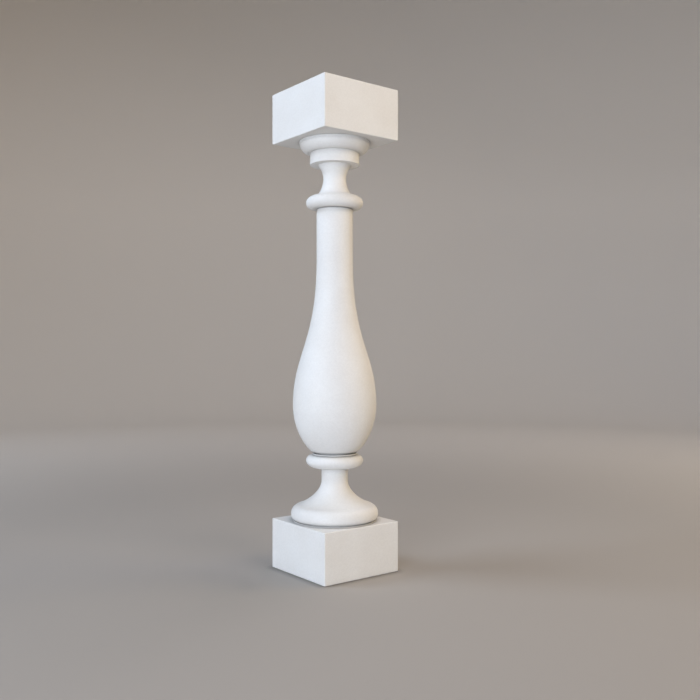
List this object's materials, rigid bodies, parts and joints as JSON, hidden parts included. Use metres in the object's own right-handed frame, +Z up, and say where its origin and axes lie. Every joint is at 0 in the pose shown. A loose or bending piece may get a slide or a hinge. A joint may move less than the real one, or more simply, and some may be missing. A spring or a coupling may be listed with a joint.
{
  "type": "stone baluster",
  "caption": "Vase-shaped turned baluster in smooth white stone, with a slender shaft, full belly, ringed necks and a square block at each end.",
  "frame": {"origin": "centre of the plinth's underside, on the turned axis", "axes": "+Z up along the turned axis; X and Y square to the sides of the two blocks"},
  "size_m": [0.14, 0.14, 0.74],
  "materials": {
    "stone": "smooth honed, matte, near-white and fine-grained, with no veins"
  },
  "bodies": {
    "root": {"baluster": "stone"}
  },
  "joints": []
}
